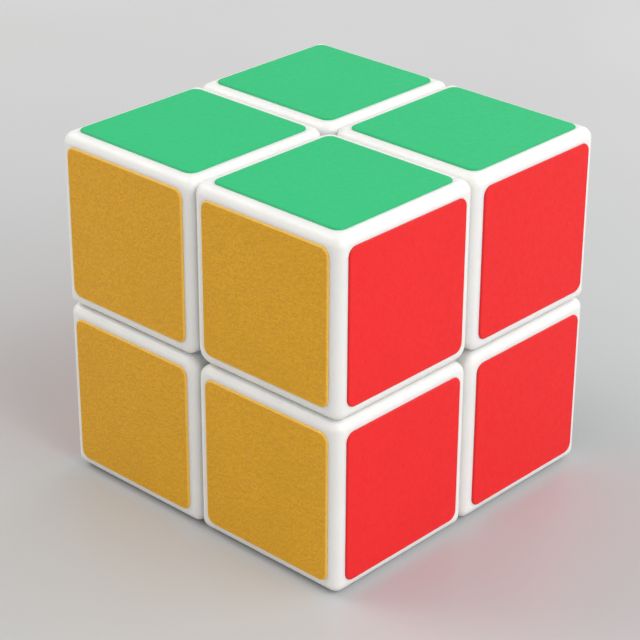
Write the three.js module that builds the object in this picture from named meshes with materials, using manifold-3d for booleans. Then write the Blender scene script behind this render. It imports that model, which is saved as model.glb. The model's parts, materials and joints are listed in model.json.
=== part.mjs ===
// A 2 x 2 x 2 twisty puzzle cube: eight hollow corner shells with stickers, held together inside by
// corner feet, edge pieces and centre pieces that slide around a ball-shaped core.
// Millimetres. The origin is the centre of the cube, where the three turning axes cross.
// +Z is the top, +X the right side and -Y the front.
import * as THREE from "three";
import { mergeVertices } from "three/addons/utils/BufferGeometryUtils.js";
import Module from "manifold-3d";

const wasm = await Module();
wasm.setup();

// Driving dimensions.
const CUBE = 50; // across two opposite plastic faces
const GAP = 0.3; // between neighbouring pieces
const SHELL_WALL = 1.6; // thickness of a corner shell
const EDGE_ROUND = 1.5; // radius along the outer edges of the cube
const SEAM_ROUND = 1.2; // radius along the edges where two corner shells meet
const CENTRE_ROUND = 2.1; // radius of the shell edge that points at the middle of a face
const STICKER_MARGIN = 1.6; // bare plastic between a sticker and the side of its corner shell
const STICKER_THICKNESS = 0.2;
const STICKER_ROUND = 1.3; // corner radius of a sticker
const STICKER_FILM = 0.05; // adhesive under a sticker
const FACE_COVER = 4.5; // from the middle of a face down to the hidden ball
const CAP_DEPTH = 5.5; // radial thickness of the outer zone of the hidden ball
const TONGUE_DEPTH = 3.5; // radial thickness of the tongues under the outer zone
const CUT = 6.5; // distance of each turning cut from the centre, in the outer zone
const TONGUE_REACH = 2.2; // how far a tongue slides under its neighbour
const FOOT_CAP = 1.6; // thickness of the cap that closes a corner shell from inside
const SCREW_SHANK = 1.25; // radius
const SCREW_HEAD = 2.7; // radius
const SCREW_HEAD_HEIGHT = 1.3;
const SCREW_HEAD_FLAT = 2.1; // radius of the flat on top of a screw head
const SCREW_HEAD_SLOPE = 0.45; // height of the sloping rim round that flat
const SCREW_GRIP = 6.5; // length of the screw held by the core
const DRIVE_WIDTH = 0.8; // width of the cross recess in a screw head
const DRIVE_LENGTH = 3.2; // of each bar of the cross
const DRIVE_DEPTH = 0.7;
const SPRING_LENGTH = 4;
const SPRING_WIRE = 0.3; // radius
const SPRING_TURNS = 4;
const SEAT_FLOOR = 2.2; // floor of a centre piece, between the spring and the core
const CORE_ROOT = 1; // how far the pieces that never move are rooted in the core's ball

// Fineness of the round surfaces.
const BALL_SIDES = 24;
const ROUND_SIDES = 16;
const ARC_STEPS = 2; // three.js draws two segments of an arc for each step
const WIRE_STEPS = 3;
const COIL_STEPS = 8;

// Derived sizes.
const HALF = CUBE / 2;
const BALL = HALF - FACE_COVER;
const TONGUE_BALL = BALL - CAP_DEPTH;
const CORE_BALL = TONGUE_BALL - TONGUE_DEPTH;
const FAR = CUBE; // beyond every surface
const SPRING_SEAT = CORE_BALL + GAP / 2 + SEAT_FLOOR;
const SCREW_HEAD_BASE = SPRING_SEAT + SPRING_LENGTH;
const SCREW_BORE = SCREW_SHANK + GAP;
const HEAD_BORE = SCREW_HEAD + GAP;
const SCREW_TIP = CORE_BALL - SCREW_GRIP;
const SPRING_RADIUS = SCREW_HEAD - SPRING_WIRE; // middle of the wire

const PLASTIC = { color: 0xf2f2ee, roughness: 0.38, metalness: 0 };
const CORE_PLASTIC = { color: 0x232324, roughness: 0.5, metalness: 0 };
const STEEL = { color: 0xb4b6b8, roughness: 0.3, metalness: 1 };
const STICKER_FINISH = { roughness: 0.45, metalness: 0 };

const X = new THREE.Vector3(1, 0, 0);
const Y = new THREE.Vector3(0, 1, 0);
const Z = new THREE.Vector3(0, 0, 1);
const X_AND_Z = new THREE.Vector3(1, 0, 1);
const X_Y_AND_Z = new THREE.Vector3(1, 1, 1);

// The six faces, in the order in which a piece's name gives them.
const FACES = [
  { name: "top", way: Z, sticker: 0x45c987 },
  { name: "bottom", way: Z.clone().negate(), sticker: 0x1c4fb4 },
  { name: "front", way: Y.clone().negate(), sticker: 0xc89433 },
  { name: "back", way: Y, sticker: 0x1d1d1f },
  { name: "left", way: X.clone().negate(), sticker: 0xf2701d },
  { name: "right", way: X, sticker: 0xf53336 },
];
const TURNING_FACES = FACES.filter((face) => ["top", "front", "right"].includes(face.name));
const FIXED_FACES = FACES.filter((face) => !TURNING_FACES.includes(face));

// ---- Solids ----

function solid(geometry) {
  const bare = geometry.index ? geometry.toNonIndexed() : geometry.clone();
  bare.deleteAttribute("normal");
  bare.deleteAttribute("uv");
  const merged = mergeVertices(bare, 1e-4);
  return new wasm.Manifold(
    new wasm.Mesh({
      numProp: 3,
      vertProperties: merged.attributes.position.array,
      triVerts: new Uint32Array(merged.index.array),
    }),
  );
}

function geometryOf(body) {
  const mesh = body.getMesh();
  const geometry = new THREE.BufferGeometry();
  geometry.setAttribute("position", new THREE.BufferAttribute(mesh.vertProperties, 3));
  geometry.setIndex(new THREE.BufferAttribute(mesh.triVerts, 1));
  return geometry;
}

// A box between two values on each axis.
function block([x0, x1], [y0, y1], [z0, z1]) {
  const box = new THREE.BoxGeometry(x1 - x0, y1 - y0, z1 - z0);
  return solid(box.translate((x0 + x1) / 2, (y0 + y1) / 2, (z0 + z1) / 2));
}

// A ball whose facets lie just inside the true surface, for the outside of a piece.
function ball(radius) {
  return solid(new THREE.SphereGeometry(radius, BALL_SIDES, BALL_SIDES / 2));
}

// A ball whose facets lie just outside the true surface, for a hollow that another piece turns in.
function hollow(radius) {
  return ball(radius / Math.cos(Math.PI / BALL_SIDES) ** 2);
}

function between(innerRadius, outerRadius) {
  return ball(outerRadius).subtract(hollow(innerRadius));
}

// A body turned about Z from its profile of [radius, height] points, listed upwards.
function turned(points) {
  const profile = points.map(([radius, height]) => new THREE.Vector2(radius, height));
  return solid(new THREE.LatheGeometry(profile, ROUND_SIDES).rotateX(Math.PI / 2));
}

function cylinder(radius, bottom, top) {
  return turned([[0, bottom], [radius, bottom], [radius, top], [0, top]]);
}

// A third of a turn about the cube's diagonal carries X to Y, Y to Z and Z to X.
function aroundDiagonal(geometry, times) {
  const turn = new THREE.Matrix4().makeBasis(Y, Z, X);
  const moved = geometry.clone();
  for (let i = 0; i < times; i++) moved.applyMatrix4(turn);
  return moved;
}

// ---- The hidden ball: corner feet, edges and centres ----

// The space that a piece may use at one depth. A sign of 1 lies beyond the cut, 0 lies between cuts.
function zone(signs, cut) {
  const spans = signs.map((sign) => (sign ? [cut + GAP / 2, FAR] : [GAP / 2 - cut, cut - GAP / 2]));
  return block(...spans);
}

// A piece of the hidden ball: a cap, a tongue that reaches under the neighbours' caps, and a neck.
function ballPiece(signs, innerRadius = CORE_BALL + GAP / 2) {
  const cap = zone(signs, CUT).intersect(between(TONGUE_BALL + GAP / 2, BALL - GAP / 2));
  const tongue = zone(signs, CUT - TONGUE_REACH).intersect(
    between(innerRadius, TONGUE_BALL - GAP / 2),
  );
  const neck = zone(signs, CUT)
    .intersect(zone(signs, CUT - TONGUE_REACH))
    .intersect(between(innerRadius, BALL - GAP / 2));
  return cap.add(tongue).add(neck);
}

function edgePiece() {
  return ballPiece([1, 0, 1]);
}

// A centre piece is bored for its spring and screw.
function centrePiece() {
  return ballPiece([0, 0, 1])
    .subtract(cylinder(HEAD_BORE, SPRING_SEAT, FAR))
    .subtract(cylinder(SCREW_BORE, 0, FAR));
}

// The core: a ball moulded with the bottom, back and left centres and the three edges between them,
// and bored for a screw on each of the other three sides.
function corePiece() {
  const centre = ballPiece([0, 0, 1], CORE_BALL - CORE_ROOT);
  const edge = ballPiece([1, 0, 1], CORE_BALL - CORE_ROOT);
  const bore = cylinder(SCREW_BORE, SCREW_TIP - GAP, FAR);
  let body = ball(CORE_BALL - GAP / 2);
  FIXED_FACES.forEach(({ way }, i) => {
    const next = FIXED_FACES[(i + 1) % FIXED_FACES.length].way;
    body = body.add(placed(centre, Z, way));
    body = body.add(placed(edge, X_AND_Z, way.clone().add(next)));
  });
  for (const { way } of TURNING_FACES) body = body.subtract(placed(bore, Z, way));
  return body;
}

// ---- Corners ----

// The section of a corner shell, the same along X, Y and Z: an outer corner, two seams and the middle.
function cornerSection() {
  const low = GAP / 2;
  const high = HALF;
  const quarter = Math.PI / 2;
  const section = new THREE.Shape();
  section.absarc(high - EDGE_ROUND, high - EDGE_ROUND, EDGE_ROUND, 0, quarter);
  section.absarc(low + SEAM_ROUND, high - SEAM_ROUND, SEAM_ROUND, quarter, 2 * quarter);
  section.absarc(low + CENTRE_ROUND, low + CENTRE_ROUND, CENTRE_ROUND, 2 * quarter, 3 * quarter);
  section.absarc(high - SEAM_ROUND, low + SEAM_ROUND, SEAM_ROUND, 3 * quarter, 4 * quarter);
  return section;
}

// A corner shell: a rounded box, hollow, and open where the hidden ball cuts it.
function cornerShell() {
  const settings = { depth: HALF - GAP / 2, bevelEnabled: false, curveSegments: ARC_STEPS };
  const prism = new THREE.ExtrudeGeometry(cornerSection(), settings).translate(0, 0, GAP / 2);
  const inside = [GAP / 2 + SHELL_WALL, HALF - SHELL_WALL];
  return solid(prism)
    .intersect(solid(aroundDiagonal(prism, 1)))
    .intersect(solid(aroundDiagonal(prism, 2)))
    .subtract(block(inside, inside, inside))
    .subtract(hollow(BALL + GAP / 2));
}

// A corner foot: a piece of the hidden ball, with a cap that closes the shell from inside.
function cornerFoot() {
  const inside = [GAP / 2 + SHELL_WALL + GAP, HALF - SHELL_WALL - GAP];
  const cap = block(inside, inside, inside).intersect(between(BALL + GAP / 2, BALL + GAP / 2 + FOOT_CAP));
  const root = zone([1, 1, 1], CUT).intersect(between(TONGUE_BALL, BALL + GAP / 2 + FOOT_CAP));
  return ballPiece([1, 1, 1]).add(cap).add(root.intersect(block(inside, inside, inside)));
}

// A sticker on the top of the corner at +X, +Y, +Z.
function stickerGeometry() {
  const low = GAP / 2 + STICKER_MARGIN;
  const high = HALF - STICKER_MARGIN;
  const outline = new THREE.Shape();
  const ends = [[high, high], [low, high], [low, low], [high, low]];
  ends.forEach(([x, y], i) => {
    const cx = x - Math.sign(x - HALF / 2) * STICKER_ROUND;
    const cy = y - Math.sign(y - HALF / 2) * STICKER_ROUND;
    outline.absarc(cx, cy, STICKER_ROUND, (i * Math.PI) / 2, ((i + 1) * Math.PI) / 2);
  });
  const settings = { depth: STICKER_THICKNESS, bevelEnabled: false, curveSegments: ARC_STEPS };
  return new THREE.ExtrudeGeometry(outline, settings).translate(0, 0, HALF + STICKER_FILM);
}

// ---- Screws and springs, along +Z ----

function screw() {
  const top = SCREW_HEAD_BASE + SCREW_HEAD_HEIGHT;
  const body = turned([
    [0, SCREW_TIP],
    [SCREW_SHANK, SCREW_TIP + SCREW_SHANK],
    [SCREW_SHANK, SCREW_HEAD_BASE],
    [SCREW_HEAD, SCREW_HEAD_BASE],
    [SCREW_HEAD, top - SCREW_HEAD_SLOPE],
    [SCREW_HEAD_FLAT, top],
    [0, top],
  ]);
  const narrow = [-DRIVE_WIDTH / 2, DRIVE_WIDTH / 2];
  const wide = [-DRIVE_LENGTH / 2, DRIVE_LENGTH / 2];
  const recess = [top - DRIVE_DEPTH, FAR];
  return body.subtract(block(narrow, wide, recess)).subtract(block(wide, narrow, recess));
}

class Helix extends THREE.Curve {
  getPoint(t) {
    const angle = 2 * Math.PI * SPRING_TURNS * t;
    const rise = SPRING_LENGTH - GAP - 2 * SPRING_WIRE;
    const height = SPRING_SEAT + GAP / 2 + SPRING_WIRE + rise * t;
    return new THREE.Vector3(SPRING_RADIUS * Math.cos(angle), SPRING_RADIUS * Math.sin(angle), height);
  }
}

function springGeometry() {
  const wire = new THREE.Shape();
  wire.absarc(0, 0, SPRING_WIRE, 0, 2 * Math.PI);
  return new THREE.ExtrudeGeometry(wire, {
    steps: SPRING_TURNS * COIL_STEPS,
    extrudePath: new Helix(),
    curveSegments: WIRE_STEPS,
    bevelEnabled: false,
  });
}

// ---- Placing ----

// The one of a cube's 24 turns that carries one direction to another.
function cubeTurn(from, to) {
  const ways = [X, Y, Z].flatMap((way) => [way, way.clone().negate()]);
  for (const x of ways) {
    for (const y of ways.filter((way) => way.dot(x) === 0)) {
      const turn = new THREE.Matrix4().makeBasis(x, y, x.clone().cross(y));
      if (from.clone().applyMatrix4(turn).equals(to)) return turn;
    }
  }
  throw new Error("no turn of the cube carries one direction to the other");
}

function placed(body, from, to) {
  return body.transform(cubeTurn(from, to).elements);
}

function mesh(name, geometry, finish) {
  const part = new THREE.Mesh(geometry, new THREE.MeshStandardMaterial(finish));
  part.name = name;
  return part;
}

// The names of the faces that a direction points at, such as top_front_right.
function placeName(direction) {
  const touched = FACES.filter((face) => face.way.dot(direction) > 0);
  return touched.map((face) => face.name).join("_");
}

function cornerGroup(signs, shell, foot, sticker) {
  const direction = new THREE.Vector3(...signs);
  const turn = cubeTurn(X_Y_AND_Z, direction);
  const corner = new THREE.Group();
  corner.add(mesh("corner_shell_" + placeName(direction), shell, PLASTIC));
  corner.add(mesh("corner_foot_" + placeName(direction), foot, PLASTIC));
  for (let i = 0; i < 3; i++) {
    const way = [Z, X, Y][i].clone().applyMatrix4(turn);
    const face = FACES.find((candidate) => candidate.way.equals(way));
    const name = face.name + "_sticker_" + placeName(direction.clone().sub(way));
    corner.add(mesh(name, aroundDiagonal(sticker, i), { color: face.sticker, ...STICKER_FINISH }));
  }
  corner.applyMatrix4(turn);
  return corner;
}

function cornerGroups() {
  const shell = geometryOf(cornerShell());
  const foot = geometryOf(cornerFoot());
  const sticker = stickerGeometry();
  const corners = new THREE.Group();
  for (const x of [-1, 1]) {
    for (const y of [-1, 1]) {
      for (const z of [-1, 1]) corners.add(cornerGroup([x, y, z], shell, foot, sticker));
    }
  }
  return corners;
}

// The nine edge pieces that touch a face that turns.
function edgeGroup() {
  const geometry = geometryOf(edgePiece());
  const edges = new THREE.Group();
  for (const [i, first] of FACES.entries()) {
    for (const second of FACES.slice(i + 1)) {
      const moves = TURNING_FACES.includes(first) || TURNING_FACES.includes(second);
      if (!moves || first.way.dot(second.way) !== 0) continue;
      const direction = first.way.clone().add(second.way);
      const edge = mesh("edge_" + placeName(direction), geometry, PLASTIC);
      edge.applyMatrix4(cubeTurn(X_AND_Z, direction));
      edges.add(edge);
    }
  }
  return edges;
}

// The centre piece, screw and spring on each of the three arms that a layer turns about.
function armGroups() {
  const parts = [
    ["centre_", geometryOf(centrePiece()), CORE_PLASTIC],
    ["screw_", geometryOf(screw()), STEEL],
    ["spring_", springGeometry(), STEEL],
  ];
  const arms = new THREE.Group();
  for (const face of TURNING_FACES) {
    const arm = new THREE.Group();
    for (const [prefix, geometry, finish] of parts) arm.add(mesh(prefix + face.name, geometry, finish));
    arm.applyMatrix4(cubeTurn(Z, face.way));
    arms.add(arm);
  }
  return arms;
}

const cube = new THREE.Group();
cube.add(mesh("core", geometryOf(corePiece()), CORE_PLASTIC));
cube.add(cornerGroups(), edgeGroup(), armGroups());

export default cube;
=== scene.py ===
"""The looks of a 2 x 2 x 2 twisty puzzle cube: fine meshes and materials around its CAD frame."""

import json
import math

import bmesh
import bpy
from mathutils import Matrix, Vector


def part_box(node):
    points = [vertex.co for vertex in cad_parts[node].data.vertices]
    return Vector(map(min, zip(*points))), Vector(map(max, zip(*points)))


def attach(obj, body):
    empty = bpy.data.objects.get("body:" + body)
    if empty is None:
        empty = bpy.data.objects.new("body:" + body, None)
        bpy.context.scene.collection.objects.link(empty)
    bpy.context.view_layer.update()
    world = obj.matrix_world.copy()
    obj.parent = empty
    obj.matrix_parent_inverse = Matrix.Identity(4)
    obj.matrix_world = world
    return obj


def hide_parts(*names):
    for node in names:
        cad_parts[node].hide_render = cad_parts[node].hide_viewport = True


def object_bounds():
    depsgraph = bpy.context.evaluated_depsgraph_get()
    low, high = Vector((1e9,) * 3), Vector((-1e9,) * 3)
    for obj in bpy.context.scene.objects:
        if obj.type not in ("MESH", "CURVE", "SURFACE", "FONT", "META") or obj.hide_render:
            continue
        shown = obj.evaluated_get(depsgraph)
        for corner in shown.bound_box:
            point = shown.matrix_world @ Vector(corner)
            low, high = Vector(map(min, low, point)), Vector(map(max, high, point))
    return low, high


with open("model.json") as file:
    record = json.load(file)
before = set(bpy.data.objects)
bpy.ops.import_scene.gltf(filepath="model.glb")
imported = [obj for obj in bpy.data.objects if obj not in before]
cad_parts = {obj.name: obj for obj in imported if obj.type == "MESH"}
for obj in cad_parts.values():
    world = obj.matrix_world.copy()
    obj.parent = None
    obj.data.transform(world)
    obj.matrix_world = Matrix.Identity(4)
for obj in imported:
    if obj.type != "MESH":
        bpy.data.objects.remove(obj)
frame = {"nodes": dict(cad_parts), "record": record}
cad_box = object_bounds()

MM = 0.001

# ---- Sizes, from the frame ----

shell_low, shell_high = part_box("corner_shell_top_back_right")
sticker_low, sticker_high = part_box("top_sticker_back_right")
centre_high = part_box("centre_top")[1]
screw_low, screw_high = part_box("screw_top")
spring_low, spring_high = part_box("spring_top")
SEAM = shell_low.x  # from a middle plane to the nearest plastic
GAP = 2 * SEAM  # clearance between two pieces
HALF = shell_high.x  # from the centre to a plastic face
CUT = centre_high.x + SEAM  # distance of the turning cuts from the centre
STICKER_HEIGHT = sticker_high.z - HALF  # film and adhesive together

# ---- Sizes that the frame's boxes don't give ----

SHELL_WALL = 1.6 * MM
EDGE_ROUND = 1.5 * MM  # along the outer edges of the cube
SEAM_ROUND = 1.2 * MM  # along the edges where two corners meet
CENTRE_ROUND = 2.1 * MM  # along the edges where four corners meet
BALL = HALF - 4.5 * MM  # the hidden ball: caps fill it down to the tongues' zone
TONGUE_BALL = BALL - 5.5 * MM  # tongues fill it down to the core
CORE_BALL = TONGUE_BALL - 3.5 * MM
CORE_ROOT = 1 * MM  # how far the fixed pieces go into the core
TONGUE_REACH = 2.2 * MM  # how far a tongue slides under its neighbours
FOOT_CAP = 1.6 * MM  # thickness of the cap that closes a shell
FAR = 2 * HALF  # beyond everything
STICKER_ROUND = 1.3 * MM
STICKER_EDGE = 0.24 * MM  # width of a sticker's softened rim
RIM_SIDE = 0.2  # share of the film's height that stands straight
SCREW_SHANK = 1.25 * MM  # radius
SCREW_BORE = 1.55 * MM  # radius
HEAD_BORE = 3.0 * MM  # radius of the well for a screw's head and its spring
SEAT_FLOOR = 2.2 * MM  # thickness of a centre piece under its spring
SCREW_HEAD_HEIGHT = 1.3 * MM
SCREW_TIP = 0.5 * MM  # radius of the flat tip
HEAD_CHAMFER = 0.1 * MM
HEAD_UNDERSIDE = 0.97  # share of the head's radius that is flat below
HEAD_DOME = 0.6  # share of the head's height that is domed
DOME_FULLNESS = 0.35  # under 1, the dome is fuller than an ellipse
THREAD_PITCH = 0.7 * MM
THREAD_DEPTH = 0.16 * MM
DRIVE_WIDTH = 0.8 * MM
DRIVE_DEPTH = 0.7 * MM
DRIVE_REACH = 0.6  # share of the head's radius that the cross recess reaches
SPRING_WIRE = 0.3 * MM  # radius
SPRING_TURNS = 4

# ---- Fineness of the meshes ----

BALL_SEGMENTS = 96
TURNED_SEGMENTS = 64
ROUNDING_STEPS = 8
RIM_STEPS = 5
STICKER_CORNER_STEPS = 10
DOME_STEPS = 8
WIRE_SIDES = 12
WIRE_STEPS_PER_TURN = 40
STILL_SHARP = math.radians(50)  # an edge of the shell that turns more isn't rounded yet
SMOOTH_BELOW = math.radians(35)  # shading is smooth across edges that turn less
COINCIDENT = 0.0001 * MM  # points this near are one point
ROUGHLY = 0.1  # directions this near are the same

X, Y, Z = Vector((1, 0, 0)), Vector((0, 1, 0)), Vector((0, 0, 1))
FACES = {"top": Z, "bottom": -Z, "front": -Y, "back": Y, "left": -X, "right": X}
TURNING = ("top", "front", "right")


# ---- Mesh tools ----


def finished(bm, name):
    """The mesh of a bmesh, with its faces pointing out."""
    mesh = bpy.data.meshes.new(name)
    bmesh.ops.recalc_face_normals(bm, faces=bm.faces)
    bm.to_mesh(mesh)
    bm.free()
    return mesh


def linked(name, data):
    """An object of the scene that holds that mesh, light or camera."""
    obj = bpy.data.objects.new(name, data)
    bpy.context.scene.collection.objects.link(obj)
    return obj


def combined(mesh, other, operation):
    """The mesh limited to, joined with or cut by the other one."""
    tool = linked("tool", other)
    holder = linked("holder", mesh)
    modifier = holder.modifiers.new("boolean", "BOOLEAN")
    modifier.operation = operation
    modifier.object = tool
    modifier.solver = "MANIFOLD"
    depsgraph = bpy.context.evaluated_depsgraph_get()
    result = bpy.data.meshes.new_from_object(holder.evaluated_get(depsgraph))
    bpy.data.objects.remove(holder)
    bpy.data.objects.remove(tool)
    return result


def common(mesh, other):
    return combined(mesh, other, "INTERSECT")


def joined(mesh, other):
    return combined(mesh, other, "UNION")


def cut(mesh, other):
    return combined(mesh, other, "DIFFERENCE")


def block(low, high):
    """A box from its lowest to its highest corner."""
    bm = bmesh.new()
    bmesh.ops.create_cube(bm, size=1)
    for v in bm.verts:
        v.co = Vector(low[i] if v.co[i] < 0 else high[i] for i in range(3))
    return finished(bm, "block")


def ball(radius):
    bm = bmesh.new()
    bmesh.ops.create_uvsphere(bm, u_segments=BALL_SEGMENTS, v_segments=BALL_SEGMENTS // 2, radius=radius)
    return finished(bm, "ball")


def between(inner_radius, outer_radius):
    """A hollow ball."""
    return cut(ball(outer_radius), ball(inner_radius))


def turned(profile):
    """A body turned about Z from (radius, height) points that start and end on the axis."""
    bm = bmesh.new()
    rings = []
    for radius, height in profile:
        if radius == 0:
            rings.append([bm.verts.new((0, 0, height))])
            continue
        angles = [2 * math.pi * i / TURNED_SEGMENTS for i in range(TURNED_SEGMENTS)]
        rings.append([bm.verts.new((radius * math.cos(a), radius * math.sin(a), height)) for a in angles])
    for low, high in zip(rings, rings[1:]):
        for i in range(TURNED_SEGMENTS):
            j = (i + 1) % TURNED_SEGMENTS
            corners = [low[i % len(low)], low[j % len(low)], high[j % len(high)], high[i % len(high)]]
            bm.faces.new(list(dict.fromkeys(corners)))
    return finished(bm, "turned")


def cylinder(radius, bottom, top):
    return turned([(0, bottom), (radius, bottom), (radius, top), (0, top)])


def skinned(bm, rings):
    """Faces between neighbouring rings of points, and one across each end."""
    for first, second in zip(rings, rings[1:]):
        for i in range(len(first)):
            j = (i + 1) % len(first)
            bm.faces.new((first[i], first[j], second[j], second[i]))
    bm.faces.new(rings[0])
    bm.faces.new(rings[-1])


def in_triangles(mesh):
    """The mesh in well-shaped triangles. The coincident points that a boolean leaves become one."""
    bm = bmesh.new()
    bm.from_mesh(mesh)
    bmesh.ops.triangulate(bm, faces=bm.faces, ngon_method="BEAUTY")
    bmesh.ops.remove_doubles(bm, verts=bm.verts, dist=COINCIDENT)
    return finished(bm, "triangles")


def moved(mesh, matrix):
    """A copy of the mesh, carried by the matrix."""
    copy = mesh.copy()
    copy.transform(matrix)
    return copy


def cube_turn(*pairs):
    """The one of a cube's 24 turns that carries the first direction of each pair to the second."""
    ways = [X, Y, Z, -X, -Y, -Z]
    for x in ways:
        for y in ways:
            if abs(x.dot(y)) > ROUGHLY:
                continue
            turn = Matrix((x, y, x.cross(y))).transposed()
            if all((turn @ a - b).length < ROUGHLY for a, b in pairs):
                return turn.to_4x4()
    raise ValueError("no turn of the cube does that")


# ---- Hidden ball ----


def zone(signs, at):
    """The space that a piece may use at one depth: beyond the cut for 1, between the cuts for 0."""
    low = [at + SEAM if sign else SEAM - at for sign in signs]
    high = [FAR if sign else at - SEAM for sign in signs]
    return block(low, high)


def ball_piece(signs, inner_radius):
    """A piece of the hidden ball: an outer cap, a wider tongue below its neighbours, and the neck
    that joins them."""
    cap = common(between(TONGUE_BALL + SEAM, BALL - SEAM), zone(signs, CUT))
    tongue = common(between(inner_radius, TONGUE_BALL - SEAM), zone(signs, CUT - TONGUE_REACH))
    column = common(between(inner_radius, BALL - SEAM), zone(signs, CUT))
    neck = common(column, zone(signs, CUT - TONGUE_REACH))
    return joined(joined(cap, tongue), neck)


def edge_piece():
    return ball_piece((1, 0, 1), CORE_BALL + SEAM)


def centre_piece():
    """A turning centre, with a well for the screw's head and the spring, and a bore below it."""
    seat = CORE_BALL + SEAM + SEAT_FLOOR
    body = cut(ball_piece((0, 0, 1), CORE_BALL + SEAM), cylinder(HEAD_BORE, seat, FAR))
    return cut(body, cylinder(SCREW_BORE, 0, FAR))


def core_piece():
    """The core ball with the three fixed centres and the three fixed edges on it, and three bores."""
    centre = ball_piece((0, 0, 1), CORE_BALL - CORE_ROOT)
    edge = ball_piece((1, 0, 1), CORE_BALL - CORE_ROOT)
    bore = cylinder(SCREW_BORE, screw_low.z - GAP, FAR)
    body = ball(CORE_BALL - SEAM)
    fixed = [way for name, way in FACES.items() if name not in TURNING]
    for i, way in enumerate(fixed):
        body = joined(body, moved(centre, cube_turn((Z, way))))
        body = joined(body, moved(edge, cube_turn((X + Z, way + fixed[(i + 1) % len(fixed)]))))
    for name in TURNING:
        body = cut(body, moved(bore, cube_turn((Z, FACES[name]))))
    return body


def corner_foot():
    """The hidden part of a corner, with the cap that closes the corner's shell from inside."""
    room = block([SEAM + SHELL_WALL + GAP] * 3, [HALF - SHELL_WALL - GAP] * 3)
    cap = common(between(BALL + SEAM, BALL + SEAM + FOOT_CAP), room)
    root = common(between(TONGUE_BALL, BALL + SEAM + FOOT_CAP), zone((1, 1, 1), CUT))
    return joined(joined(ball_piece((1, 1, 1), CORE_BALL + SEAM), cap), common(root, room))


# ---- Corner shells and stickers ----


def corner_shell():
    """A hollow moulded corner. The three edges that run out to the middles of the cube's faces are
    rounded widest, then the three where two outside walls meet, then all that are still sharp."""
    bm = bmesh.new()
    bmesh.ops.create_cube(bm, size=1)
    for v in bm.verts:
        v.co = Vector(SEAM if c < 0 else HALF for c in v.co)

    def between_sides(edge, side):
        """Whether two of the shell's sides at that distance meet in the edge."""
        return sum(all(abs(v.co[i] - side) < COINCIDENT for v in edge.verts) for i in range(3)) == 2

    def rounded(edges, radius):
        bmesh.ops.bevel(
            bm,
            geom=edges,
            offset=radius,
            segments=ROUNDING_STEPS,
            profile=0.5,  # a round profile
            affect="EDGES",
            clamp_overlap=False,
        )

    rounded([e for e in bm.edges if between_sides(e, SEAM)], CENTRE_ROUND)
    rounded([e for e in bm.edges if between_sides(e, HALF)], EDGE_ROUND)
    rounded([e for e in bm.edges if e.calc_face_angle(0) > STILL_SHARP], SEAM_ROUND)
    outside = finished(bm, "outside")
    inside = block([SEAM + SHELL_WALL] * 3, [HALF - SHELL_WALL] * 3)
    return cut(cut(outside, inside), ball(BALL + SEAM))


def sticker():
    """A rounded square of vinyl with a softened rim, on the top of the corner at +X, +Y, +Z."""
    low, high = sticker_low.x, sticker_high.x
    corners = [(high, high), (low, high), (low, low), (high, low)]
    bm = bmesh.new()
    # The rim layer marks where the vinyl's colour carries painted shading: a painted highlight on the
    # yellow, painted shade on the others.
    rim = bm.verts.layers.float.new("rim")  # 1 on the softened rim, for the vinyl's colour

    def outline(inset, height):
        """The film's outline, drawn in by that much."""
        radius = STICKER_ROUND - inset
        ring = []
        for quarter, (x, y) in enumerate(corners):
            cx = x - math.copysign(STICKER_ROUND, x - HALF / 2)
            cy = y - math.copysign(STICKER_ROUND, y - HALF / 2)
            for i in range(STICKER_CORNER_STEPS + 1):
                angle = (quarter + i / STICKER_CORNER_STEPS) * math.pi / 2
                place = (cx + radius * math.cos(angle), cy + radius * math.sin(angle), HALF + height)
                ring.append(bm.verts.new(place))
        return ring

    rings = [outline(0, 0)]
    for i in range(RIM_STEPS + 1):
        angle = math.pi / 2 * i / RIM_STEPS
        rise = STICKER_HEIGHT * (1 - RIM_SIDE) * math.sin(angle)
        rings.append(outline(STICKER_EDGE * (1 - math.cos(angle)), STICKER_HEIGHT * RIM_SIDE + rise))
    skinned(bm, rings)
    for ring in rings[:-1]:
        for v in ring:
            v[rim] = 1
    return finished(bm, "sticker")


# ---- Screws and springs ----


def screw():
    """A screw with thread rings, a domed washer head and a cross recess."""
    radius = screw_high.x
    top = screw_high.z
    head = top - SCREW_HEAD_HEIGHT
    profile = [(0, screw_low.z), (SCREW_TIP, screw_low.z)]
    height = screw_low.z + SCREW_SHANK
    while height < CORE_BALL - THREAD_PITCH:
        profile += [(SCREW_SHANK - THREAD_DEPTH, height), (SCREW_SHANK, height + THREAD_PITCH / 2)]
        height += THREAD_PITCH
    profile += [(SCREW_SHANK, height), (SCREW_SHANK, head)]
    profile += [(radius * HEAD_UNDERSIDE, head), (radius, head + HEAD_CHAMFER)]
    rise = SCREW_HEAD_HEIGHT * HEAD_DOME
    for i in range(DOME_STEPS):
        angle = math.pi / 2 * i / DOME_STEPS
        profile.append((radius * math.cos(angle) ** DOME_FULLNESS, top - rise + rise * math.sin(angle)))
    profile.append((0, top))
    body = turned(profile)
    reach = radius * DRIVE_REACH
    for x, y in ((DRIVE_WIDTH / 2, reach), (reach, DRIVE_WIDTH / 2)):
        body = cut(body, block((-x, -y, top - DRIVE_DEPTH), (x, y, FAR)))
    return body


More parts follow.
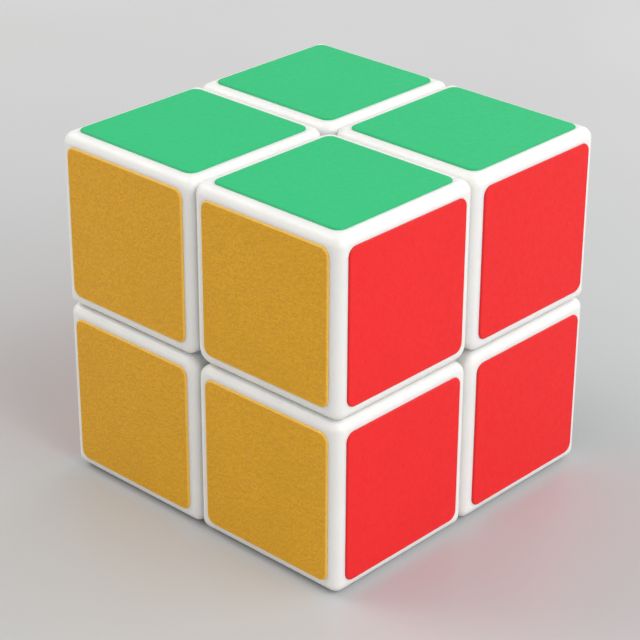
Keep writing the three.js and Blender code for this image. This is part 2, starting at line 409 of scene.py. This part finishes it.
def spring():
    """A coil of round wire between the centre piece's seat and the screw's head."""
    bm = bmesh.new()
    steps = SPRING_TURNS * WIRE_STEPS_PER_TURN
    radius = screw_high.x - SPRING_WIRE
    low, high = spring_low.z + SPRING_WIRE, spring_high.z - SPRING_WIRE
    around = [2 * math.pi * k / WIRE_SIDES for k in range(WIRE_SIDES)]
    rings = []
    for i in range(steps + 1):
        share = i / steps
        angle = 2 * math.pi * SPRING_TURNS * share
        out = Vector((math.cos(angle), math.sin(angle), 0))
        along = Vector((-radius * math.sin(angle), radius * math.cos(angle), 0)) * 2 * math.pi * SPRING_TURNS
        along.z = high - low
        side = along.normalized().cross(out)
        middle = out * radius + Z * (low + (high - low) * share)
        spokes = [out * math.cos(a) + side * math.sin(a) for a in around]
        rings.append([bm.verts.new(middle + SPRING_WIRE * spoke) for spoke in spokes])
    skinned(bm, rings)
    return finished(bm, "spring")


# ---- Materials ----


class Nodes:
    """A material's node tree, with the few node patterns that the materials share."""

    def __init__(self, name):
        self.material = bpy.data.materials.new(name)
        self.material.use_nodes = True
        self.tree = self.material.node_tree
        self.shader = self.tree.nodes["Principled BSDF"]
        self.place = self.add("ShaderNodeTexCoord").outputs["Object"]

    def add(self, kind, **settings):
        """A new node with those settings."""
        node = self.tree.nodes.new(kind)
        for key, value in settings.items():
            setattr(node, key, value)
        return node

    def link(self, output, socket):
        self.tree.links.new(output, socket)

    def noise(self, size, detail=3, stretch=(1, 1, 1), seed=0):
        """Noise with features of about that size, in metres. The seed shifts it to another place."""
        mapping = self.add("ShaderNodeMapping")
        mapping.inputs["Scale"].default_value = [s / size for s in stretch]
        mapping.inputs["Location"].default_value = (seed, 2 * seed, 3 * seed)
        self.link(self.place, mapping.inputs["Vector"])
        node = self.add("ShaderNodeTexNoise")
        node.inputs["Scale"].default_value = 1
        node.inputs["Detail"].default_value = detail
        self.link(mapping.outputs["Vector"], node.inputs["Vector"])
        return node.outputs["Fac"]

    def ramp(self, value, low, high, start=0.35, end=0.65):
        """The value's stretch from start to end, spread out from low to high."""
        node = self.add("ShaderNodeMapRange")
        for key, number in zip(("From Min", "From Max", "To Min", "To Max"), (start, end, low, high)):
            node.inputs[key].default_value = number
        self.link(value, node.inputs["Value"])
        return node.outputs["Result"]

    def mix(self, factor, first, second):
        """The first colour where the factor is 0, the second where it is 1."""
        node = self.add("ShaderNodeMix", data_type="RGBA")
        colours = [socket for socket in node.inputs if socket.type == "RGBA"]
        for socket, value in zip(colours, (first, second)):
            if isinstance(value, bpy.types.NodeSocket):
                self.link(value, socket)
            else:
                socket.default_value = (*value, 1)
        self.link(factor, node.inputs["Factor"])
        return next(socket for socket in node.outputs if socket.type == "RGBA")

    def bump(self, height, distance, strength, normal=None):
        """The normal that a relief of that height gives, on top of an earlier normal if there is one."""
        node = self.add("ShaderNodeBump")
        node.inputs["Strength"].default_value = strength
        node.inputs["Distance"].default_value = distance
        self.link(height, node.inputs["Height"])
        if normal is not None:
            self.link(normal, node.inputs["Normal"])
        return node.outputs["Normal"]


def tinted(colour, factor):
    """The colour, darker for a factor under 1 and lighter over 1."""
    return tuple(min(1, c * factor) for c in colour)


def plastic(name, colour, roughness, depth_glow=0.0):
    """Satin moulded plastic: a spark-eroded skin, faint handling marks and slow changes of tone.
    Light goes a little way into a pale one, by the share depth_glow."""
    n = Nodes(name)
    skin = n.noise(0.22 * MM, detail=2)
    waves = n.noise(6 * MM, detail=2, seed=3)
    marks = n.noise(3.5 * MM, detail=6, seed=7)
    tone = n.mix(n.ramp(waves, 0, 1), tinted(colour, 0.975), colour)
    marked = n.mix(n.ramp(marks, 0, 0.5, start=0.55, end=0.8), tone, tinted(colour, 0.93))
    n.link(marked, n.shader.inputs["Base Color"])
    n.link(n.ramp(marks, roughness - 0.05, roughness + 0.08), n.shader.inputs["Roughness"])
    fine = n.bump(skin, distance=0.02 * MM, strength=0.5)
    broad = n.bump(waves, distance=0.03 * MM, strength=0.6, normal=fine)
    n.link(broad, n.shader.inputs["Normal"])
    n.shader.inputs["IOR"].default_value = 1.49
    n.shader.inputs["Subsurface Weight"].default_value = depth_glow
    n.shader.inputs["Subsurface Radius"].default_value = (1, 0.8, 0.6)
    n.shader.inputs["Subsurface Scale"].default_value = 1.2 * MM
    return n.material


def vinyl(name, colour, roughness, grain, depth, contrast, stretch=(1, 1, 1), shine=0.35, rim=None):
    """Sticker vinyl: a pebble-grained surface with painted shade in its hollows and painted light on its
    tops, by the contrast, a few specks, and a rim of painted shading: the rim colour if given, else painted
    shade a little darker than the rest."""
    n = Nodes(name)
    pebbles = n.noise(grain, detail=1.5, stretch=stretch)
    creases = n.noise(grain * 2.6, detail=3, stretch=stretch, seed=5)
    slow = n.noise(9 * MM, detail=2, seed=11)
    specks = n.noise(0.5 * MM, detail=1, seed=17)
    dark, pale = tinted(colour, 1 - contrast), tinted(colour, 1 + contrast)
    # Painted shade in the pebbles' hollows and painted light on their tops, from the same noise as the bump.
    relief_painted_shade_and_light = n.mix(n.ramp(pebbles, 0, 1), dark, pale)
    clouded = n.mix(n.ramp(slow, 0, 0.35), relief_painted_shade_and_light, dark)
    speckled = n.mix(n.ramp(specks, 0, 0.35, start=0.74, end=0.8), clouded, tinted(colour, 1.35))
    # Painted shading on the rim: the given rim colour, else painted shade a little darker than the vinyl.
    edge = n.add("ShaderNodeAttribute", attribute_name="rim").outputs["Fac"]
    n.link(n.mix(edge, speckled, rim or tinted(colour, 0.9)), n.shader.inputs["Base Color"])
    n.link(n.ramp(creases, roughness - 0.06, roughness + 0.08), n.shader.inputs["Roughness"])
    fine = n.bump(pebbles, distance=depth, strength=0.8)
    broad = n.bump(creases, distance=depth * 0.6, strength=0.6, normal=fine)
    n.link(broad, n.shader.inputs["Normal"])
    n.shader.inputs["Specular IOR Level"].default_value = shine
    return n.material


def plated_steel(name, colour, roughness):
    """Plated steel: a cloudy plating over fine marks that run up and down."""
    n = Nodes(name)
    clouds = n.noise(1.2 * MM, detail=4)
    lines = n.noise(0.12 * MM, detail=2, stretch=(1, 1, 0.15), seed=4)
    n.link(n.mix(n.ramp(clouds, 0, 1), tinted(colour, 0.85), colour), n.shader.inputs["Base Color"])
    n.link(n.ramp(clouds, roughness - 0.08, roughness + 0.12), n.shader.inputs["Roughness"])
    n.link(n.bump(lines, distance=0.004 * MM, strength=0.5), n.shader.inputs["Normal"])
    n.shader.inputs["Metallic"].default_value = 1
    return n.material


def floor_material():
    """A pale, slightly glossy and cloudy studio sheet, with painted shade that darkens it near the cube and
    painted light that brightens it far away.
    """
    near, painted_near_shade_tone = 60 * MM, (0.525, 0.53, 0.542)
    far, painted_far_light_tone = 220 * MM, (0.612, 0.62, 0.626)
    cloud_tone = (0.5, 0.5, 0.5)
    n = Nodes("studio_sheet")
    clouds = n.noise(60 * MM, detail=3)
    grain = n.noise(0.8 * MM, detail=3, seed=2)
    away = n.add("ShaderNodeVectorMath", operation="LENGTH")
    n.link(n.place, away.inputs[0])
    # Painted shade around the cube, fading out into painted light on the far floor.
    pale = n.mix(n.ramp(away.outputs["Value"], 0, 1, start=near, end=far), painted_near_shade_tone, painted_far_light_tone)
    n.link(n.mix(n.ramp(clouds, 0, 0.2), pale, cloud_tone), n.shader.inputs["Base Color"])
    n.link(n.ramp(grain, 0.36, 0.44), n.shader.inputs["Roughness"])
    n.link(n.bump(grain, distance=0.01 * MM, strength=0.2), n.shader.inputs["Normal"])
    n.shader.inputs["Specular IOR Level"].default_value = 0.34
    return n.material


WHITE = (0.84, 0.84, 0.825)
MATERIALS = {
    "white_plastic": plastic("white_plastic", WHITE, roughness=0.36, depth_glow=0.6),
    "inner_plastic": plastic("inner_plastic", tinted(WHITE, 0.96), roughness=0.45),
    "core_plastic": plastic("core_plastic", (0.016, 0.016, 0.017), roughness=0.5),
    "green_sticker": vinyl(
        "green_vinyl",
        colour=(0.013, 0.50, 0.182),
        roughness=0.5,
        grain=0.30 * MM,
        depth=0.020 * MM,
        contrast=0.035,
    ),
    "yellow_sticker": vinyl(
        "yellow_vinyl",
        colour=(0.755, 0.378, 0.010),
        roughness=0.42,
        grain=0.31 * MM,
        depth=0.2 * MM,
        contrast=0.075,
        stretch=(0.8, 1, 1),
        shine=0.3,
        # Painted highlight: the rim is a paler yellow than the face.
        rim=(0.87, 0.50, 0.07),
    ),
    "red_sticker": vinyl(
        "red_vinyl",
        colour=(0.82, 0.011, 0.013),
        roughness=0.48,
        grain=0.32 * MM,
        depth=0.030 * MM,
        contrast=0.05,
    ),
    "blue_sticker": vinyl(
        "blue_vinyl",
        colour=(0.012, 0.08, 0.46),
        roughness=0.48,
        grain=0.28 * MM,
        depth=0.012 * MM,
        contrast=0.03,
    ),
    "orange_sticker": vinyl(
        "orange_vinyl",
        colour=(0.90, 0.17, 0.012),
        roughness=0.48,
        grain=0.28 * MM,
        depth=0.014 * MM,
        contrast=0.03,
    ),
    "black_sticker": vinyl(
        "black_vinyl",
        colour=(0.012, 0.012, 0.013),
        roughness=0.5,
        grain=0.28 * MM,
        depth=0.012 * MM,
        contrast=0.08,
    ),
    "steel": plated_steel("plated_steel", (0.62, 0.62, 0.63), roughness=0.3),
    "spring_steel": plated_steel("spring_wire", (0.50, 0.50, 0.52), roughness=0.34),
}


# ---- Pieces ----


def direction(name):
    """The sum of the directions that a node's name gives, such as top_front_right."""
    total = Vector()
    for word in name.split("_"):
        total += FACES.get(word, Vector())
    return total


BODIES = frame["record"]["behaviour"]["bodies"]
BODY_OF = {node: body for body, nodes in BODIES.items() for node in nodes}
SLOT_OF = {row["node"]: row["material_slot"] for row in frame["record"]["subparts"]}
DIAGONAL = X + Y + Z


def turn_for(node):
    """The turn that carries the shape of the node's kind to the node's place."""
    towards = direction(node)
    if node.startswith("corner_"):
        return cube_turn((DIAGONAL, towards))
    if "_sticker_" in node:
        return cube_turn((Z, FACES[node.split("_")[0]]), (DIAGONAL, towards))
    if node.startswith("edge_"):
        return cube_turn((X + Z, towards))
    if node == "core":
        return Matrix.Identity(4)
    return cube_turn((Z, towards))


def place(node, shape):
    """The fine piece that stands for one CAD node."""
    mesh = moved(in_triangles(shape), turn_for(node))
    mesh.name = node + "_fine"
    mesh.shade_smooth()
    mesh.set_sharp_from_angle(angle=SMOOTH_BELOW)
    mesh.materials.clear()
    mesh.materials.append(MATERIALS[SLOT_OF[node]])
    piece = linked(node + "_fine", mesh)
    weighted = piece.modifiers.new("weighted_normals", "WEIGHTED_NORMAL")
    weighted.keep_sharp = True
    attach(piece, BODY_OF[node])
    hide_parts(node)


SHAPES = {
    "corner_shell_": corner_shell(),
    "corner_foot_": corner_foot(),
    "edge_": edge_piece(),
    "centre_": centre_piece(),
    "core": core_piece(),
    "screw_": screw(),
    "spring_": spring(),
}
STICKER = sticker()

for node in sorted(frame["nodes"]):
    if "_sticker_" in node:
        place(node, STICKER)
    else:
        place(node, next(shape for prefix, shape in SHAPES.items() if node.startswith(prefix)))


# ---- Studio ----

FLOOR_HALF = 3  # metres from the middle to a side


def studio_floor():
    """A flat sheet that the cube stands on."""
    bm = bmesh.new()
    bmesh.ops.create_grid(bm, x_segments=8, y_segments=8, size=FLOOR_HALF)
    for v in bm.verts:
        v.co.z = cad_box[0][2]
    mesh = finished(bm, "floor")
    mesh.materials.append(floor_material())
    linked("floor", mesh)


LIGHT_DISTANCE = 2  # metres
LIGHT_SIZE = 1.2  # metres across
LIGHTS = (
    # name, direction from the cube, power in watts, colour
    ("right", (1, -0.2, 0.35), 11.9, (1, 0.97, 0.94)),
    ("high_right", (0.8, 0.1, 0.8), 12.4, (0.97, 0.99, 1)),
    ("back_right", (0.7, 0.7, 0.6), 7.2, (0.97, 0.99, 1)),
    ("back", (-0.2, 1, 0.6), 5.5, (0.97, 0.99, 1)),
    ("high_left", (-0.8, -0.3, 0.8), 13.5, (1, 0.985, 0.96)),
    ("low_left", (-0.6, -0.9, 0.25), 5, (1, 0.93, 0.85)),
)


def area_light(name, towards, power, colour):
    """A soft round light in that direction from the cube, facing it."""
    data = bpy.data.lights.new(name, "AREA")
    data.shape = "DISK"
    data.size = LIGHT_SIZE
    data.energy = power
    data.color = colour
    light = linked(name, data)
    way = Vector(towards).normalized()
    light.location = way * LIGHT_DISTANCE
    light.rotation_euler = way.to_track_quat("Z", "Y").to_euler()


def world_light(strength, colour):
    """Even light from all round."""
    world = bpy.data.worlds.new("studio")
    bpy.context.scene.world = world
    world.use_nodes = True
    background = world.node_tree.nodes["Background"]
    background.inputs["Color"].default_value = (*colour, 1)
    background.inputs["Strength"].default_value = strength


def camera():
    """A long lens that looks down at the cube, with the aim a little off the cube's centre."""
    azimuth, elevation, roll = math.radians(43.1), math.radians(26.6), math.radians(0.25)
    distance, rightward, upward = 293.5 * MM, -1.05 * MM, -2.8 * MM
    back = Vector((
        math.sin(azimuth) * math.cos(elevation),
        -math.cos(azimuth) * math.cos(elevation),
        math.sin(elevation),
    ))
    right = Vector((math.cos(azimuth), math.sin(azimuth), 0))
    up = back.cross(right)
    data = bpy.data.cameras.new("camera")
    data.sensor_width = 36
    data.lens = 120.8
    data.clip_start = 0.01
    data.clip_end = 20
    eye = linked("camera", data)
    turn = Matrix((right, up, back)).transposed().to_4x4() @ Matrix.Rotation(roll, 4, "Z")
    position = right * rightward + up * upward + back * distance
    eye.matrix_world = Matrix.Translation(position) @ turn
    bpy.context.scene.camera = eye


bpy.context.scene.view_settings.view_transform = "Standard"
camera()
studio_floor()
world_light(strength=0.5, colour=(1, 0.99, 0.968))
for name, towards, power, colour in LIGHTS:
    area_light(name, towards, power, colour)
